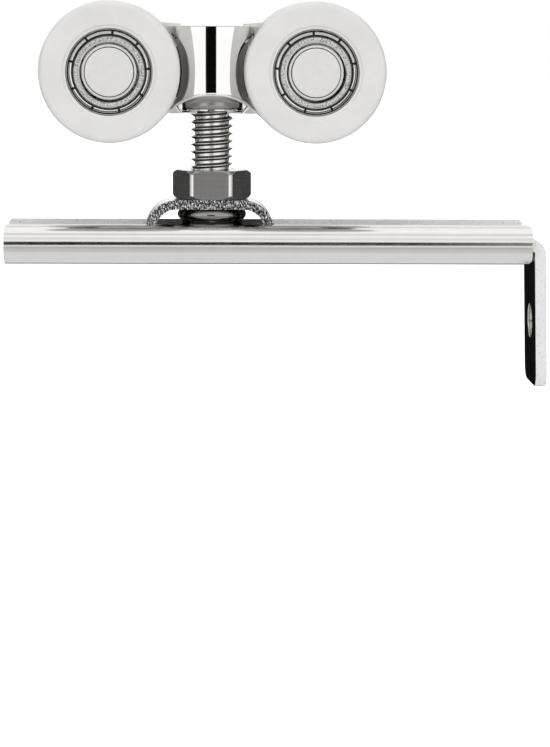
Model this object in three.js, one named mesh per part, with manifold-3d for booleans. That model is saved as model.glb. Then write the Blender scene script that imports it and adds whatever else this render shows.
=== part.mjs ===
// One hanger of a top-hung sliding barn door, in millimetres.
// +Z is up, +X runs along the door towards the end flange, +Y is the wall side.
// The origin is on the channel's underside, straight below the bolt's axis.
import * as THREE from 'three';
import { mergeVertices } from 'three/addons/utils/BufferGeometryUtils.js';
import Module from 'manifold-3d';

const wasm = await Module();
wasm.setup();

// Door channel: a rolled C section, open at the top, with half-round sides.
const CHANNEL_X0 = -39.0;
const CHANNEL_X1 = 60.25;
const CHANNEL_HEIGHT = 7.6;
const CHANNEL_SHEET = 1.3;
const SIDE_CENTRE_Y = 6.2;
const LIP_Y = 6.75;
const LIP_CORNER = 0.6;
const END_CUT = 0.5;
const END_CUT_Z = 2.5;
const DOOR_SCREW_R = 2.6;
const DOOR_SCREW_X = [-30, 30];

// End bracket: a flat bar held between the channel's half-round sides, bent down at the end.
const BAR_SHEET = 2.1;
const BAR_WIDTH = 16.6;
const BAR_Z0 = 2.6;
const BAR_X0 = 38.0;
const BEND_X = 60.4;
const BEND_INNER_R = 0.4;
const FLANGE_LEAN = THREE.MathUtils.degToRad(1.5);
const FLANGE_LENGTH = 25.6;
const FLANGE_CORNER_R = 3.0;
const FLANGE_HOLE_R = 3.2;
const FLANGE_HOLE_Z = -11.3;

// Slide plate: a pressed strip with a bridge that rises through the slot.
const PLATE_SHEET = 2.0;
const PLATE_FOOT_Z = 3.25;
const PLATE_HALF_LENGTH = 22.0;
const PLATE_FOOT_WIDTH = 16.2;
const PLATE_CORNER_R = 1.5;
const BRIDGE_WIDTH = 13.0;
const BRIDGE_TOP_Z = 12.0;
const BRIDGE_SHEET = 1.75;
const BRIDGE_FLAT_X = 6.3;
const BRIDGE_FOOT_X = 12.95;

// Screw: a 5/16 in bolt with 18 threads to the inch, hung by its domed head.
const THREAD_R = 3.97;
const THREAD_ROOT_R = 3.3;
const PITCH = 25.4 / 18;
const THREAD_BORE_R = 4.3;
const THREAD_SEGMENTS = 12;
const BOLT_END_Z = 4.5;
const BOLT_POINT = 0.7;
const HEAD_Z = 29.1;
const HEAD_R = 6.1;
const HEAD_RIM = 0.9;
const HEAD_HEIGHT = 4.2;
const COLLAR_R = 6.5;
const COLLAR_Z0 = 5.0;
const NUT_FLATS = 13.2;
const NUT_Z0 = 12.05;
const NUT_HEIGHT = 5.4;
const NUT_CHAMFER = 0.9;
const WASHER_R = 5.9;
const WASHER_Z0 = 28.65;
const WASHER_HEIGHT = 0.4;

// Carriage body: two mirrored pressings with a barrel between the wheels.
const AXLE_X = 19.15;
const AXLE_Z = 36.0;
const WEB_HALF = 2.5;
const WEB_END_R = 9.8;
const WEB_NECK_X = 8.4;
const WEB_KNEE_X = 10.4;
const BODY_BOTTOM_Z = 28.1;
const BODY_TOP_Z = 44.4;
const LEDGE_HEIGHT = 0.5;
const BARREL_R = 9.0;
const CAVITY_R = 6.5;
const WHEEL_POCKET_Y = 4.4;
const WHEEL_POCKET_R = 13.4;
const WHEEL_POCKET_FLARE = 0.42;
const WINDOW_R = 12.0;
const WINDOW_APEX_Z = 31.9;
const WINDOW_DEPTH_Y = 3.2;
const AXLE_HOLE_R = 4.1;

// Axle, wheel and 8 x 16 x 5 ball bearing.
const AXLE_R = 3.95;
const RIVET_HEAD_R = 4.5;
const RIVET_FACE_R = 4.1;
const RIVET_HEAD_Y = 12.0;
const SPACER_R = 5.0;
const FIT_GAP = 0.05;
const BEARING_Y = 8.7;
const BEARING_HALF = 2.5;
const BEARING_BORE_R = 4.0;
const BEARING_R = 8.0;
const INNER_SHOULDER_R = 5.1;
const INNER_GROOVE_R = 4.9;
const OUTER_SHOULDER_R = 7.0;
const OUTER_GROOVE_R = 7.3;
const GROOVE_HALF = 1.1;
const SHIELD_BORE_R = 5.4;
const SHIELD_R = 7.6;
const SHIELD_SEAT_R = 7.7;
const SHIELD_SEAT = 0.5;
const SHIELD_SHEET = 0.25;
const BALL_R = 0.95;
const BALL_COUNT = 9;
const BALL_PITCH_R = 6.1;
const CAGE_HALF = 0.3;
const CAGE_Y0 = 0.5;
const CAGE_Y1 = 1.4;
const TYRE_R = 13.1;
const TYRE_BORE_R = 8.08;
const TYRE_HALF = 3.5;
const TYRE_EDGE = 0.9;
const TYRE_RIM_R = 8.9;
const TYRE_RIM_STEP = 0.45;

const RACE_SEGMENTS = 16;
const TYRE_SEGMENTS = 32;
const BARREL_SEGMENTS = 36;
const ROUND_SEGMENTS = 20;
const FAR = 60;
const WELD = 1e-5;

const FINISHES = {
  rolled: { color: 0xc9c6c1, roughness: 0.22, metalness: 1.0 },
  plated: { color: 0xd6d2cb, roughness: 0.16, metalness: 1.0 },
  screw: { color: 0x9a9790, roughness: 0.3, metalness: 1.0 },
  polished: { color: 0xe2dfda, roughness: 0.08, metalness: 1.0 },
  race: { color: 0xb9b8b6, roughness: 0.2, metalness: 1.0 },
  shield: { color: 0x9d9c98, roughness: 0.35, metalness: 1.0 },
  nylon: { color: 0xe9e6df, roughness: 0.5, metalness: 0.0 },
};

// Turns a three.js geometry into a solid for the cuts and joins.
function solid(geometry) {
  const bare = geometry.clone();
  bare.deleteAttribute('normal');
  bare.deleteAttribute('uv');
  const welded = mergeVertices(bare, WELD);
  const vertProperties = new Float32Array(welded.attributes.position.array);
  const triVerts = outward(vertProperties, new Uint32Array(welded.index.array));
  return new wasm.Manifold(new wasm.Mesh({ numProp: 3, vertProperties, triVerts }));
}

// Flips every triangle when the surface as a whole faces inwards.
function outward(points, triangles) {
  const corner = [new THREE.Vector3(), new THREE.Vector3(), new THREE.Vector3()];
  let volume = 0;
  for (let i = 0; i < triangles.length; i += 3) {
    corner.forEach((v, k) => v.fromArray(points, 3 * triangles[i + k]));
    volume += corner[0].dot(corner[1].cross(corner[2]));
  }
  if (volume > 0) {
    return triangles;
  }
  return triangles.map((v, i) => triangles[i - (i % 3) + (2 - (i % 3))]);
}

// Turns a finished solid back into a three.js geometry.
function surface(body) {
  const mesh = body.getMesh();
  const geometry = new THREE.BufferGeometry();
  geometry.setAttribute('position', new THREE.BufferAttribute(mesh.vertProperties, 3));
  geometry.setIndex(new THREE.BufferAttribute(mesh.triVerts, 1));
  geometry.computeVertexNormals();
  return geometry;
}

function box(x0, x1, y0, y1, z0, z1) {
  const geometry = new THREE.BoxGeometry(x1 - x0, y1 - y0, z1 - z0);
  geometry.translate((x0 + x1) / 2, (y0 + y1) / 2, (z0 + z1) / 2);
  return solid(geometry);
}

// Turned solid about a line parallel to Z through (x, y); the profile is [radius, z].
function turnedZ(profile, segments, x = 0, y = 0) {
  const points = profile.map(([r, z]) => new THREE.Vector2(r, z));
  const geometry = new THREE.LatheGeometry(points, segments);
  geometry.rotateX(Math.PI / 2);
  geometry.translate(x, y, 0);
  return solid(geometry);
}

// Turned solid about a line parallel to Y through (x, z); the profile is [radius, y].
function turnedY(profile, segments, x, z) {
  const points = profile.map(([r, y]) => new THREE.Vector2(r, y));
  const geometry = new THREE.LatheGeometry(points, segments);
  geometry.translate(x, 0, z);
  return solid(geometry);
}

// Profile of a plain disc or ring between two heights.
function ring(inner, outer, low, high) {
  if (inner === 0) {
    return [[0, low], [outer, low], [outer, high], [0, high]];
  }
  return [[inner, low], [outer, low], [outer, high], [inner, high], [inner, low]];
}

// Extrudes a shape drawn in (y, z) along X from x0 to x1.
function alongX(shape, x0, x1, curveSegments = 12) {
  const settings = { depth: x1 - x0, bevelEnabled: false, curveSegments };
  const geometry = new THREE.ExtrudeGeometry(shape, settings);
  const turn = new THREE.Matrix4().makeBasis(
    new THREE.Vector3(0, 1, 0), new THREE.Vector3(0, 0, 1), new THREE.Vector3(1, 0, 0));
  geometry.applyMatrix4(turn);
  geometry.translate(x0, 0, 0);
  return solid(geometry);
}

// Extrudes a shape drawn in (x, z) along Y from y0 to y1.
function alongY(shape, y0, y1, curveSegments = 12) {
  const settings = { depth: y1 - y0, bevelEnabled: false, curveSegments };
  const geometry = new THREE.ExtrudeGeometry(shape, settings);
  geometry.rotateX(Math.PI / 2);
  geometry.translate(0, y1, 0);
  return solid(geometry);
}

// Extrudes a shape drawn in (x, y) along Z from z0 to z1.
function alongZ(shape, z0, z1, curveSegments = 6) {
  const settings = { depth: z1 - z0, bevelEnabled: false, curveSegments };
  const geometry = new THREE.ExtrudeGeometry(shape, settings);
  geometry.translate(0, 0, z0);
  return solid(geometry);
}

function polygon(points) {
  return new THREE.Shape(points.map(([a, b]) => new THREE.Vector2(a, b)));
}

// Rectangle with all four corners rounded to radius r.
function roundedRectangle(a0, a1, b0, b1, r) {
  const shape = new THREE.Shape();
  shape.moveTo(a0 + r, b0);
  shape.lineTo(a1 - r, b0);
  shape.absarc(a1 - r, b0 + r, r, -Math.PI / 2, 0, false);
  shape.absarc(a1 - r, b1 - r, r, 0, Math.PI / 2, false);
  shape.absarc(a0 + r, b1 - r, r, Math.PI / 2, Math.PI, false);
  shape.absarc(a0 + r, b0 + r, r, Math.PI, 1.5 * Math.PI, false);
  return shape;
}

// Section of the channel in (y, z): half-round sides that stop at the slot.
function channelSection() {
  const middle = CHANNEL_HEIGHT / 2;
  const outer = middle;
  const inner = middle - CHANNEL_SHEET;
  const reach = LIP_Y - SIDE_CENTRE_Y;
  const outerLip = Math.acos(reach / outer);
  const innerLip = Math.acos(reach / inner);
  const shape = new THREE.Shape();
  shape.absarc(SIDE_CENTRE_Y, middle, outer, outerLip, -Math.PI / 2, true);
  shape.absarc(-SIDE_CENTRE_Y, middle, outer, 1.5 * Math.PI, Math.PI - outerLip, true);
  shape.absarc(-SIDE_CENTRE_Y, middle, inner, Math.PI - innerLip, 1.5 * Math.PI, false);
  shape.absarc(SIDE_CENTRE_Y, middle, inner, -Math.PI / 2, innerLip, false);
  return shape;
}

function doorChannel() {
  const bar = alongX(channelSection(), CHANNEL_X0, CHANNEL_X1);
  const side = polygon([
    [CHANNEL_X0, 0],
    [CHANNEL_X1 - END_CUT, 0],
    [CHANNEL_X1, END_CUT_Z],
    [CHANNEL_X1, CHANNEL_HEIGHT - LIP_CORNER],
    [CHANNEL_X1 - LIP_CORNER, CHANNEL_HEIGHT],
    [CHANNEL_X0 + LIP_CORNER, CHANNEL_HEIGHT],
    [CHANNEL_X0, CHANNEL_HEIGHT - LIP_CORNER],
  ]);
  let body = bar.intersect(alongY(side, -FAR, FAR));
  for (const x of DOOR_SCREW_X) {
    const hole = turnedZ(ring(0, DOOR_SCREW_R, -1, CHANNEL_SHEET + 1), ROUND_SEGMENTS, x);
    body = body.subtract(hole);
  }
  return body;
}

// Side outline of the L-shaped bar in (x, z).
function bracketSide() {
  const pivotZ = BAR_Z0 - BEND_INNER_R;
  const outerR = BEND_INNER_R + BAR_SHEET;
  const down = [Math.sin(FLANGE_LEAN), -Math.cos(FLANGE_LEAN)];
  const out = [Math.cos(FLANGE_LEAN), Math.sin(FLANGE_LEAN)];
  const at = (r, run) => [
    BEND_X + out[0] * r + down[0] * run,
    pivotZ + out[1] * r + down[1] * run,
  ];
  const shape = new THREE.Shape();
  shape.moveTo(BAR_X0, BAR_Z0);
  shape.absarc(BEND_X, pivotZ, BEND_INNER_R, Math.PI / 2, FLANGE_LEAN, true);
  shape.lineTo(...at(BEND_INNER_R, FLANGE_LENGTH));
  shape.lineTo(...at(outerR, FLANGE_LENGTH));
  shape.absarc(BEND_X, pivotZ, outerR, FLANGE_LEAN, Math.PI / 2, false);
  shape.lineTo(BAR_X0, BAR_Z0 + BAR_SHEET);
  return shape;
}

function endBracket() {
  const half = BAR_WIDTH / 2;
  const bar = alongY(bracketSide(), -half, half, 6);
  const flangeEnd = BAR_Z0 - BEND_INNER_R - FLANGE_LENGTH;
  const face = roundedRectangle(-half, half, flangeEnd, FLANGE_LENGTH, FLANGE_CORNER_R);
  const hole = new THREE.Shape();
  hole.absarc(0, FLANGE_HOLE_Z, FLANGE_HOLE_R, 0, 2 * Math.PI, false);
  return bar.intersect(alongX(face, BAR_X0 - 1, FAR + BEND_X, 6))
    .subtract(alongX(hole, BEND_X, FAR + BEND_X, ROUND_SEGMENTS));
}

// Side outline of the bridge in (x, z), down to the level of its feet.
function bridgeSide() {
  const footTop = PLATE_FOOT_Z + PLATE_SHEET;
  const innerX = BRIDGE_FOOT_X - BRIDGE_SHEET;
  const innerTop = BRIDGE_TOP_Z - BRIDGE_SHEET;
  const shape = new THREE.Shape();
  shape.moveTo(-BRIDGE_FOOT_X, PLATE_FOOT_Z);
  shape.lineTo(-BRIDGE_FOOT_X, footTop);
  shape.absellipse(-BRIDGE_FLAT_X, footTop, BRIDGE_FOOT_X - BRIDGE_FLAT_X,
    BRIDGE_TOP_Z - footTop, Math.PI, Math.PI / 2, true);
  shape.absellipse(BRIDGE_FLAT_X, footTop, BRIDGE_FOOT_X - BRIDGE_FLAT_X,
    BRIDGE_TOP_Z - footTop, Math.PI / 2, 0, true);
  shape.lineTo(BRIDGE_FOOT_X, PLATE_FOOT_Z);
  shape.lineTo(innerX, PLATE_FOOT_Z);
  shape.absellipse(BRIDGE_FLAT_X, footTop, innerX - BRIDGE_FLAT_X,
    innerTop - footTop, 0, Math.PI / 2, false);
  shape.absellipse(-BRIDGE_FLAT_X, footTop, innerX - BRIDGE_FLAT_X,
    innerTop - footTop, Math.PI / 2, Math.PI, false);
  shape.lineTo(-innerX, PLATE_FOOT_Z);
  return shape;
}

function slidePlate() {
  let body = alongY(bridgeSide(), -BRIDGE_WIDTH / 2, BRIDGE_WIDTH / 2, 8);
  const half = PLATE_FOOT_WIDTH / 2;
  const footInner = BRIDGE_FOOT_X - BRIDGE_SHEET;
  for (const side of [-1, 1]) {
    const ends = [side * footInner, side * PLATE_HALF_LENGTH].sort((a, b) => a - b);
    const foot = roundedRectangle(ends[0], ends[1], -half, half, PLATE_CORNER_R);
    body = body.add(alongZ(foot, PLATE_FOOT_Z, PLATE_FOOT_Z + PLATE_SHEET));
  }
  const bore = turnedZ(ring(0, THREAD_BORE_R, 0, FAR), ROUND_SEGMENTS);
  return body.subtract(bore);
}

function liftCollar() {
  const top = BRIDGE_TOP_Z - BRIDGE_SHEET - FIT_GAP;
  return turnedZ(ring(THREAD_BORE_R, COLLAR_R, COLLAR_Z0, top), ROUND_SEGMENTS);
}

// Hexagon nut with both faces chamfered; one flat looks along -Y.
function jamNut() {
  const corner = NUT_FLATS / Math.sqrt(3);
  const top = NUT_Z0 + NUT_HEIGHT;
  const points = [];
  for (let i = 0; i < 6; i += 1) {
    const angle = i * Math.PI / 3;
    points.push([corner * Math.cos(angle), corner * Math.sin(angle)]);
  }
  const face = NUT_FLATS / 2 - 0.1;
  const drop = NUT_CHAMFER;
  const crown = turnedZ([
    [0, NUT_Z0], [face, NUT_Z0], [corner, NUT_Z0 + drop],
    [corner, top - drop], [face, top], [0, top],
  ], BARREL_SEGMENTS);
  const bore = turnedZ(ring(0, THREAD_BORE_R, 0, FAR), ROUND_SEGMENTS);
  return alongZ(polygon(points), NUT_Z0, top).intersect(crown).subtract(bore);
}

// Right-hand thread: rows of root and crest points that climb one pitch per turn.
function threadedRod(z0, z1) {
  const rows = 2 * Math.ceil((z1 - z0) / PITCH + 3);
  const points = [];
  const triangles = [];
  for (let row = 0; row < rows; row += 1) {
    const radius = row % 2 ? THREAD_R : THREAD_ROOT_R;
    for (let i = 0; i <= THREAD_SEGMENTS; i += 1) {
      const part = i / THREAD_SEGMENTS;
      const angle = 2 * Math.PI * part;
      const z = z0 + PITCH * (row / 2 + part - 2);
      points.push(radius * Math.cos(angle), radius * Math.sin(angle), z);
    }
  }
  const at = (row, i) => row * (THREAD_SEGMENTS + 1) + i;
  for (let row = 0; row < rows - 1; row += 1) {
    for (let i = 0; i < THREAD_SEGMENTS; i += 1) {
      triangles.push(at(row, i), at(row, i + 1), at(row + 1, i + 1));
      triangles.push(at(row, i), at(row + 1, i + 1), at(row + 1, i));
    }
  }
  const low = points.length / 3;
  points.push(0, 0, z0 - 2 * PITCH);
  points.push(0, 0, z0 + PITCH * (rows / 2 - 1));
  const last = rows - 1;
  for (let i = 0; i < THREAD_SEGMENTS; i += 1) {
    triangles.push(low, at(0, i + 1), at(0, i));
    triangles.push(low + 1, at(last, i), at(last, i + 1));
  }
  triangles.push(low, at(1, 0), at(2, 0), low, at(0, 0), at(1, 0));
  const lastTurn = THREAD_SEGMENTS;
  triangles.push(low + 1, at(last - 1, lastTurn), at(last - 2, lastTurn));
  triangles.push(low + 1, at(last, lastTurn), at(last - 1, lastTurn));
  const geometry = new THREE.BufferGeometry();
  geometry.setAttribute('position', new THREE.Float32BufferAttribute(points, 3));
  geometry.setIndex(triangles);
  const trim = turnedZ([
    [0, z0], [THREAD_R - BOLT_POINT, z0], [THREAD_R, z0 + BOLT_POINT],
    [THREAD_R + 1, z0 + BOLT_POINT], [THREAD_R + 1, z1], [0, z1],
  ], ROUND_SEGMENTS);
  return solid(geometry).intersect(trim);
}

function hangerBolt() {
  const rod = threadedRod(BOLT_END_Z, BODY_BOTTOM_Z);
  const profile = [
    [0, BODY_BOTTOM_Z - 0.4], [THREAD_R, BODY_BOTTOM_Z - 0.4],
    [THREAD_R, HEAD_Z], [HEAD_R, HEAD_Z],
  ];
  const steps = 5;
  for (let i = 0; i < steps; i += 1) {
    const angle = (i / steps) * Math.PI / 2;
    const rise = (HEAD_HEIGHT - HEAD_RIM) * Math.sin(angle);
    profile.push([HEAD_R * Math.cos(angle), HEAD_Z + HEAD_RIM + rise]);
  }
  profile.push([0, HEAD_Z + HEAD_HEIGHT]);
  return rod.add(turnedZ(profile, 2 * THREAD_SEGMENTS));
}

function thrustWasher() {
  const top = WASHER_Z0 + WASHER_HEIGHT;
  return turnedZ(ring(THREAD_BORE_R, WASHER_R, WASHER_Z0, top), ROUND_SEGMENTS);
}

// Flat web in (x, z): a bow tie with a round end about each axle and a shallow V along its top.
function webOutline() {
  const reach = Math.hypot(AXLE_X, BODY_TOP_Z - AXLE_Z);
  const fall = Math.asin((BODY_TOP_Z - AXLE_Z) / reach);
  const tilt = Math.asin(WEB_END_R / reach) - fall;
  const low = AXLE_Z - WEB_END_R;
  const shape = new THREE.Shape();
  shape.moveTo(WEB_NECK_X, BODY_BOTTOM_Z);
  shape.lineTo(WEB_KNEE_X, low);
  shape.absarc(AXLE_X, AXLE_Z, WEB_END_R, -Math.PI / 2, Math.PI / 2 + tilt, false);
  shape.lineTo(0, BODY_TOP_Z);
  shape.absarc(-AXLE_X, AXLE_Z, WEB_END_R, Math.PI / 2 - tilt, 1.5 * Math.PI, false);
  shape.lineTo(-WEB_KNEE_X, low);
  shape.lineTo(-WEB_NECK_X, BODY_BOTTOM_Z);
  return shape;
}

// Room for one wheel beside the barrel: a round pocket that opens out away from the web.
function wheelPocket(x, side) {
  const radius = (y) => WHEEL_POCKET_R + WHEEL_POCKET_FLARE * (Math.abs(y) - WHEEL_POCKET_Y);
  const [low, high] = [side * WHEEL_POCKET_Y, side * FAR].sort((a, b) => a - b);
  const profile = [[0, low], [radius(low), low], [radius(high), high], [0, high]];
  return turnedY(profile, 2 * BARREL_SEGMENTS, x, AXLE_Z);
}

// Both halves of the body in one piece, before they are parted at y = 0.
function carriageBody() {
  let body = alongY(webOutline(), -WEB_HALF, WEB_HALF, ROUND_SEGMENTS);
  body = body.add(turnedZ(ring(0, BARREL_R, BODY_BOTTOM_Z, BODY_TOP_Z), BARREL_SEGMENTS));
  const windowZ = WINDOW_APEX_Z - WINDOW_R;
  const ledgeTop = BODY_BOTTOM_Z + LEDGE_HEIGHT;
  for (const side of [-1, 1]) {
    for (const x of [-AXLE_X, AXLE_X]) {
      body = body.subtract(wheelPocket(x, side));
    }
    const depth = [side * WINDOW_DEPTH_Y, side * FAR].sort((a, b) => a - b);
    body = body.subtract(turnedY(ring(0, WINDOW_R, depth[0], depth[1]), 2 * BARREL_SEGMENTS, 0, windowZ));
  }
  body = body.subtract(turnedZ(ring(0, CAVITY_R, ledgeTop, FAR), BARREL_SEGMENTS));
  body = body.subtract(turnedZ(ring(0, THREAD_BORE_R, 0, FAR), ROUND_SEGMENTS));
  for (const x of [-AXLE_X, AXLE_X]) {
    body = body.subtract(turnedY(ring(0, AXLE_HOLE_R, -FAR, FAR), ROUND_SEGMENTS, x, AXLE_Z));
  }
  return body;
}

function axle(x) {
  const head = BEARING_Y + BEARING_HALF + FIT_GAP;
  const bevel = RIVET_HEAD_R - RIVET_FACE_R;
  const half = [
    [AXLE_R, head], [RIVET_HEAD_R, head], [RIVET_HEAD_R, RIVET_HEAD_Y - bevel],
    [RIVET_FACE_R, RIVET_HEAD_Y], [0, RIVET_HEAD_Y],
  ];
  const mirrored = half.map(([r, y]) => [r, -y]).reverse();
  return turnedY([...mirrored, ...half], RACE_SEGMENTS, x, AXLE_Z);
}

function spacer(x, side) {
  const near = side * (WEB_HALF + FIT_GAP);
  const far = side * (BEARING_Y - BEARING_HALF - FIT_GAP);
  const ends = [near, far].sort((a, b) => a - b);
  return turnedY(ring(BEARING_BORE_R, SPACER_R, ends[0], ends[1]), RACE_SEGMENTS, x, AXLE_Z);
}

// Places a profile that is drawn about the bearing's middle at one wheel.
function atWheel(profile, segments, x, side) {
  const placed = profile.map(([r, y]) => [r, side * (BEARING_Y + y)]);
  return turnedY(side > 0 ? placed : placed.reverse(), segments, x, AXLE_Z);
}

function innerRace(x, side) {
  const h = BEARING_HALF;
  return atWheel([
    [BEARING_BORE_R, -h], [INNER_SHOULDER_R, -h], [INNER_SHOULDER_R, -GROOVE_HALF],
    [INNER_GROOVE_R, 0], [INNER_SHOULDER_R, GROOVE_HALF], [INNER_SHOULDER_R, h],
    [BEARING_BORE_R, h], [BEARING_BORE_R, -h],
  ], RACE_SEGMENTS, x, side);
}

function outerRace(x, side) {
  const h = BEARING_HALF;
  const seat = h - SHIELD_SEAT;
  return atWheel([
    [BEARING_R, -h], [BEARING_R, h], [SHIELD_SEAT_R, h], [SHIELD_SEAT_R, seat],
    [OUTER_SHOULDER_R, seat], [OUTER_SHOULDER_R, GROOVE_HALF], [OUTER_GROOVE_R, 0],
    [OUTER_SHOULDER_R, -GROOVE_HALF], [OUTER_SHOULDER_R, -seat], [SHIELD_SEAT_R, -seat],
    [SHIELD_SEAT_R, -h], [BEARING_R, -h],
  ], RACE_SEGMENTS, x, side);
}

function shield(x, side, face) {
  const seat = BEARING_HALF - SHIELD_SEAT + FIT_GAP;
  const ends = [face * seat, face * (seat + SHIELD_SHEET)].sort((a, b) => a - b);
  return atWheel(ring(SHIELD_BORE_R, SHIELD_R, ends[0], ends[1]), RACE_SEGMENTS, x, side);
}

// Balls and their cage, joined as the one unit that rolls round between the races.
function ballCage(x, side) {
  const inner = BALL_PITCH_R - CAGE_HALF;
  const outer = BALL_PITCH_R + CAGE_HALF;
  let body = atWheel(ring(inner, outer, CAGE_Y0, CAGE_Y1), RACE_SEGMENTS, x, side);
  for (let i = 0; i < BALL_COUNT; i += 1) {
    const angle = 2 * Math.PI * i / BALL_COUNT;
    const ball = new THREE.SphereGeometry(BALL_R, 6, 5);
    ball.translate(
      x + BALL_PITCH_R * Math.cos(angle), side * BEARING_Y,
      AXLE_Z + BALL_PITCH_R * Math.sin(angle));
    body = body.add(solid(ball));
  }
  return body;
}

function tyre(x, side) {
  const h = TYRE_HALF;
  return atWheel([
    [TYRE_BORE_R, -h + TYRE_RIM_STEP], [TYRE_RIM_R, -h], [TYRE_R - TYRE_EDGE, -h],
    [TYRE_R, -h + TYRE_EDGE], [TYRE_R, h - TYRE_EDGE], [TYRE_R - TYRE_EDGE, h],
    [TYRE_RIM_R, h], [TYRE_BORE_R, h - TYRE_RIM_STEP], [TYRE_BORE_R, -h + TYRE_RIM_STEP],
  ], TYRE_SEGMENTS, x, side);
}

const group = new THREE.Group();
group.name = 'sliding_door_hanger';

function place(name, body, finish) {
  const mesh = new THREE.Mesh(surface(body), new THREE.MeshStandardMaterial(FINISHES[finish]));
  mesh.name = name;
  group.add(mesh);
}

function placeWheel(tag, x, side) {
  place(`tyre_${tag}`, tyre(x, side), 'nylon');
  place(`outer_race_${tag}`, outerRace(x, side), 'race');
  place(`inner_race_${tag}`, innerRace(x, side), 'race');
  place(`ball_cage_${tag}`, ballCage(x, side), 'race');
  place(`shield_outside_${tag}`, shield(x, side, 1), 'shield');
  place(`shield_inside_${tag}`, shield(x, side, -1), 'shield');
}

place('door_channel', doorChannel(), 'rolled');
place('end_bracket', endBracket(), 'rolled');
place('slide_plate', slidePlate(), 'plated');
place('lift_collar', liftCollar(), 'screw');
place('jam_nut', jamNut(), 'screw');
place('hanger_bolt', hangerBolt(), 'screw');
place('thrust_washer', thrustWasher(), 'screw');

const carriage = carriageBody();
place('carriage_front', carriage.intersect(box(-FAR, FAR, -FAR, 0, -FAR, FAR)), 'polished');
place('carriage_back', carriage.intersect(box(-FAR, FAR, 0, FAR, -FAR, FAR)), 'polished');

for (const [end, x] of [['left', -AXLE_X], ['right', AXLE_X]]) {
  place(`axle_${end}`, axle(x), 'plated');
  for (const [face, side] of [['front', -1], ['back', 1]]) {
    place(`spacer_${end}_${face}`, spacer(x, side), 'plated');
    placeWheel(`${end}_${face}`, x, side);
  }
}

export default group;
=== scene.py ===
# %% [markdown]
# A hanger for a top-hung sliding door. Four nylon wheels run in a track, a pressed steel carriage hangs
# between them, and a bolt carries a slide plate that sits in a channel on the door's top edge. The packed
# frame is the fixed truth: the pieces' places and outside sizes below are read from it, and only the finer
# shapes inside those boxes are this script's own. Loading it comes first.

# %% Load the frame
import math

import bpy
from mathutils import Euler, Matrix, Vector


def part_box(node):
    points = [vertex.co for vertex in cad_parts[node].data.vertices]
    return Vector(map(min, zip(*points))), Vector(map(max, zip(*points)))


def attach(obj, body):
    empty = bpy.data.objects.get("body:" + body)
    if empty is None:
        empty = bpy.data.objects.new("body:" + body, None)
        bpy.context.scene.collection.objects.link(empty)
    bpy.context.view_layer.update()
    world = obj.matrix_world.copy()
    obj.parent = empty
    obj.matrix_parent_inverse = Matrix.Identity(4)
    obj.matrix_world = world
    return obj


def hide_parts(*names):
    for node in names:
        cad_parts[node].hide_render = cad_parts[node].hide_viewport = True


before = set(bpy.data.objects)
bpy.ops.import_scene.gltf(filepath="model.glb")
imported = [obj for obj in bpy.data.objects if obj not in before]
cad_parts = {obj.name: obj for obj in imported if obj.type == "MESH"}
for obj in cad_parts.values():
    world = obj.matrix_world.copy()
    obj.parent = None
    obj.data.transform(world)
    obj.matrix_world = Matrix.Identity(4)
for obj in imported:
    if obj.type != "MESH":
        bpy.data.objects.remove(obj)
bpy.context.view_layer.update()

MM = 0.001

# %% [markdown]
# Operators act on whatever is selected, and the frame arrives selected. So each piece starts by putting
# everything away. A maker draws most of this object in two ways: as a profile that is turned on a lathe, or
# as an outline of bent strip that is pushed to its width. Both start here from one point that is extruded
# from place to place, because a drawn profile keeps every radius and step at its true size, which a scaled
# cylinder wouldn't.

# %% Hand tools
def put_away():
    """Leaves edit mode with nothing selected."""
    if bpy.context.object and bpy.context.object.mode != "OBJECT":
        bpy.ops.object.mode_set(mode="OBJECT")
    bpy.ops.object.select_all(action="DESELECT")


def take_up(piece):
    """Makes one piece the only thing that operators act on."""
    put_away()
    bpy.context.view_layer.objects.active = piece
    piece.select_set(True)


def settle(piece):
    """Puts a piece's place, turn and scale into its mesh."""
    take_up(piece)
    bpy.ops.object.transform_apply(location=True, rotation=True, scale=True)


def draw(name, points, closed):
    """Draws a wire through the points, given in millimetres, and stays in edit mode."""
    put_away()
    bpy.ops.mesh.primitive_plane_add(size=0.001, location=[c * MM for c in points[0]])
    piece = bpy.context.object
    piece.name = name
    settle(piece)
    bpy.ops.object.mode_set(mode="EDIT")
    bpy.ops.mesh.select_all(action="SELECT")
    bpy.ops.mesh.merge(type="CENTER")
    route = points[1:] + points[:1] if closed else points[1:]
    at = points[0]
    for point in route:
        step = [(b - a) * MM for a, b in zip(at, point)]
        bpy.ops.mesh.extrude_region_move(TRANSFORM_OT_translate={"value": step})
        at = point
    bpy.ops.mesh.select_all(action="SELECT")
    bpy.ops.mesh.remove_doubles(threshold=1e-6)
    return piece


def face_outwards():
    """Merges what coincides, turns every face outwards and leaves edit mode."""
    bpy.ops.mesh.select_all(action="SELECT")
    bpy.ops.mesh.remove_doubles(threshold=1e-6)
    bpy.ops.mesh.normals_make_consistent(inside=False)
    bpy.ops.object.mode_set(mode="OBJECT")


def arc(cx, cz, r, start, end, count):
    """Points of an arc in a profile's own plane, with the angles in degrees."""
    turns = [math.radians(start + (end - start) * i / count) for i in range(count + 1)]
    return [(cx + r * math.cos(t), cz + r * math.sin(t)) for t in turns]


def apply_all(piece):
    """Makes a piece's modifiers part of its mesh."""
    take_up(piece)
    for modifier in list(piece.modifiers):
        bpy.ops.object.modifier_apply(modifier=modifier.name)


def shade(piece, degrees=32):
    """Smooth shading whose normals follow the large faces, so that long flat strips reflect evenly."""
    take_up(piece)
    bpy.ops.object.shade_smooth_by_angle(angle=math.radians(degrees))
    weighted = piece.modifiers.new("large_faces_lead", "WEIGHTED_NORMAL")
    weighted.mode = "FACE_AREA"
    weighted.weight = 60
    weighted.keep_sharp = True
    apply_all(piece)


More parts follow.
